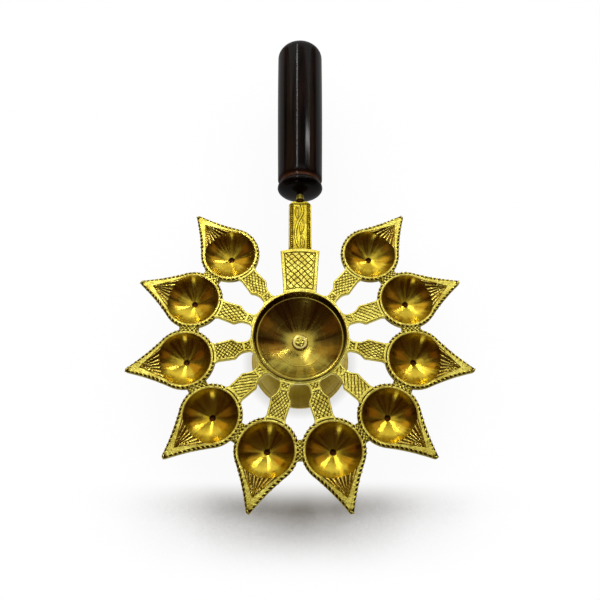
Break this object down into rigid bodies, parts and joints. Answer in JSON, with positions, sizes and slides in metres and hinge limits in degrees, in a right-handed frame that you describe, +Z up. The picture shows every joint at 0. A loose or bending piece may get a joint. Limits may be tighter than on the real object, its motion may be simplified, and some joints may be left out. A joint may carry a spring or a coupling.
{
  "type": "aarti lamp",
  "caption": "Hand-held brass aarti lamp: leaf-shaped oil cups on engraved arms around a turned bowl, raised on a flared foot, with a dark turned wooden handle.",
  "frame": {"origin": "centre of the foot's base ring, on the table", "axes": "+Z up along the lamp's axis, +Y from the bowl along the handle, +X across the lamp"},
  "size_m": [0.1698, 0.2656, 0.0563],
  "materials": {
    "cast_brass": "cast, brushed, engraved",
    "turned_brass": "turned and polished",
    "foot_brass": "turned, satin",
    "rosewood": "dark, lacquered"
  },
  "bodies": {
    "root": {"arm_01": "cast_brass", "arm_02": "cast_brass", "arm_03": "cast_brass", "arm_04": "cast_brass", "arm_05": "cast_brass", "arm_06": "cast_brass", "arm_07": "cast_brass", "arm_08": "cast_brass", "arm_09": "cast_brass", "arm_10": "cast_brass", "bowl_washer": "turned_brass", "central_bowl": "turned_brass", "centre_rivet": "turned_brass", "foot": "foot_brass", "foot_washer": "turned_brass", "handle_bar": "cast_brass", "handle_plate": "cast_brass", "hub_ring": "cast_brass", "leaf_cup_01": "cast_brass", "leaf_cup_02": "cast_brass", "leaf_cup_03": "cast_brass", "leaf_cup_04": "cast_brass", "leaf_cup_05": "cast_brass", "leaf_cup_06": "cast_brass", "leaf_cup_07": "cast_brass", "leaf_cup_08": "cast_brass", "leaf_cup_09": "cast_brass", "leaf_cup_10": "cast_brass", "leaf_link_01": "cast_brass", "leaf_link_02": "cast_brass", "leaf_link_03": "cast_brass", "leaf_link_04": "cast_brass", "leaf_link_05": "cast_brass", "leaf_link_06": "cast_brass", "leaf_link_07": "cast_brass", "leaf_link_08": "cast_brass", "leaf_link_09": "cast_brass", "tang": "turned_brass", "wooden_handle": "rosewood"}
  },
  "joints": []
}
